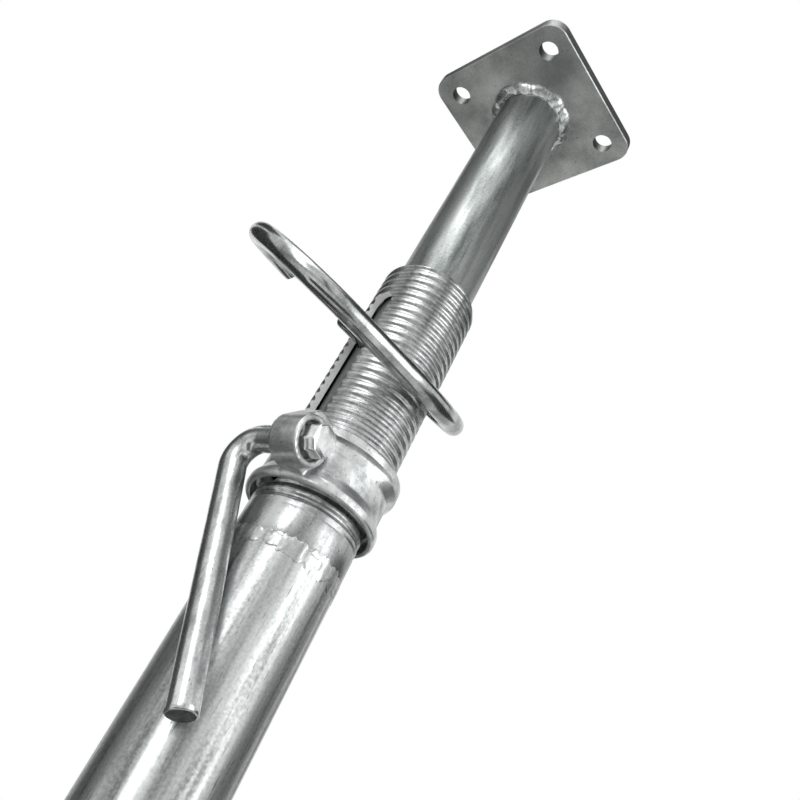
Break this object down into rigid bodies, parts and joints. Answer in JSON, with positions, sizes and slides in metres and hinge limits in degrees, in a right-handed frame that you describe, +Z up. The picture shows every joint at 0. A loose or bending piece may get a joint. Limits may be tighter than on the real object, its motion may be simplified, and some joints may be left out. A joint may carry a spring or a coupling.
{
  "type": "telescopic steel prop",
  "caption": "Telescopic prop with square end plates: an inner tube held by a hooked pin in a slotted threaded sleeve, raised by a cast collar nut with a bent handle.",
  "frame": {"origin": "centre of the foot plate's underside", "axes": "+Z up along the tubes, X and Y along the sides of the end plates, with the pin's leg along Y"},
  "size_m": [0.115, 0.1712, 1.07],
  "materials": {
    "galvanised_plate": "hot-dip galvanised plate, grey with a soft cloudy pattern",
    "galvanised_weld": "hot-dip galvanised weld bead, rippled",
    "galvanised_outer_tube": "hot-dip galvanised tube, grey with long soft streaks",
    "galvanised_thread": "hot-dip galvanised thread on thick tube",
    "galvanised_casting": "hot-dip galvanised casting with a rough skin",
    "galvanised_bar": "hot-dip galvanised round bar",
    "galvanised_pin": "hot-dip galvanised bent bar, smooth and a little brighter on top",
    "galvanised_inner_tube": "hot-dip galvanised tube, grey with long soft streaks and a seam"
  },
  "bodies": {
    "outer": {"foot_plate": "galvanised_plate", "foot_weld": "galvanised_weld", "outer_tube": "galvanised_outer_tube", "sleeve_weld": "galvanised_weld", "thread_sleeve": "galvanised_thread"},
    "inner": {"inner_tube": "galvanised_inner_tube", "guide_ring": "galvanised_inner_tube", "head_weld": "galvanised_weld", "head_plate": "galvanised_plate"},
    "nut": {"collar_nut": "galvanised_casting"},
    "handle": {"nut_handle": "galvanised_bar"},
    "pin": {"g_pin": "galvanised_pin"}
  },
  "joints": [
    {"name": "tube_extension", "type": "slide", "parent": "outer", "child": "inner", "axis": [0, 0, 1], "range_m": [0, 0.6]},
    {"name": "nut_turn", "type": "hinge", "parent": "outer", "child": "nut", "pos_m": [0, 0, 0.705], "axis": [0, 0, 1], "continuous": true},
    {"name": "handle_swing", "type": "hinge", "parent": "nut", "child": "handle", "pos_m": [0.00979, -0.04238, 0.7023], "axis": [-0.9744, -0.225, 0], "range_deg": [0, 110]},
    {"name": "pin_draw", "type": "slide", "parent": "outer", "child": "pin", "axis": [0, 0.9969, 0.0785], "range_m": [0, 0.0685]}
  ]
}
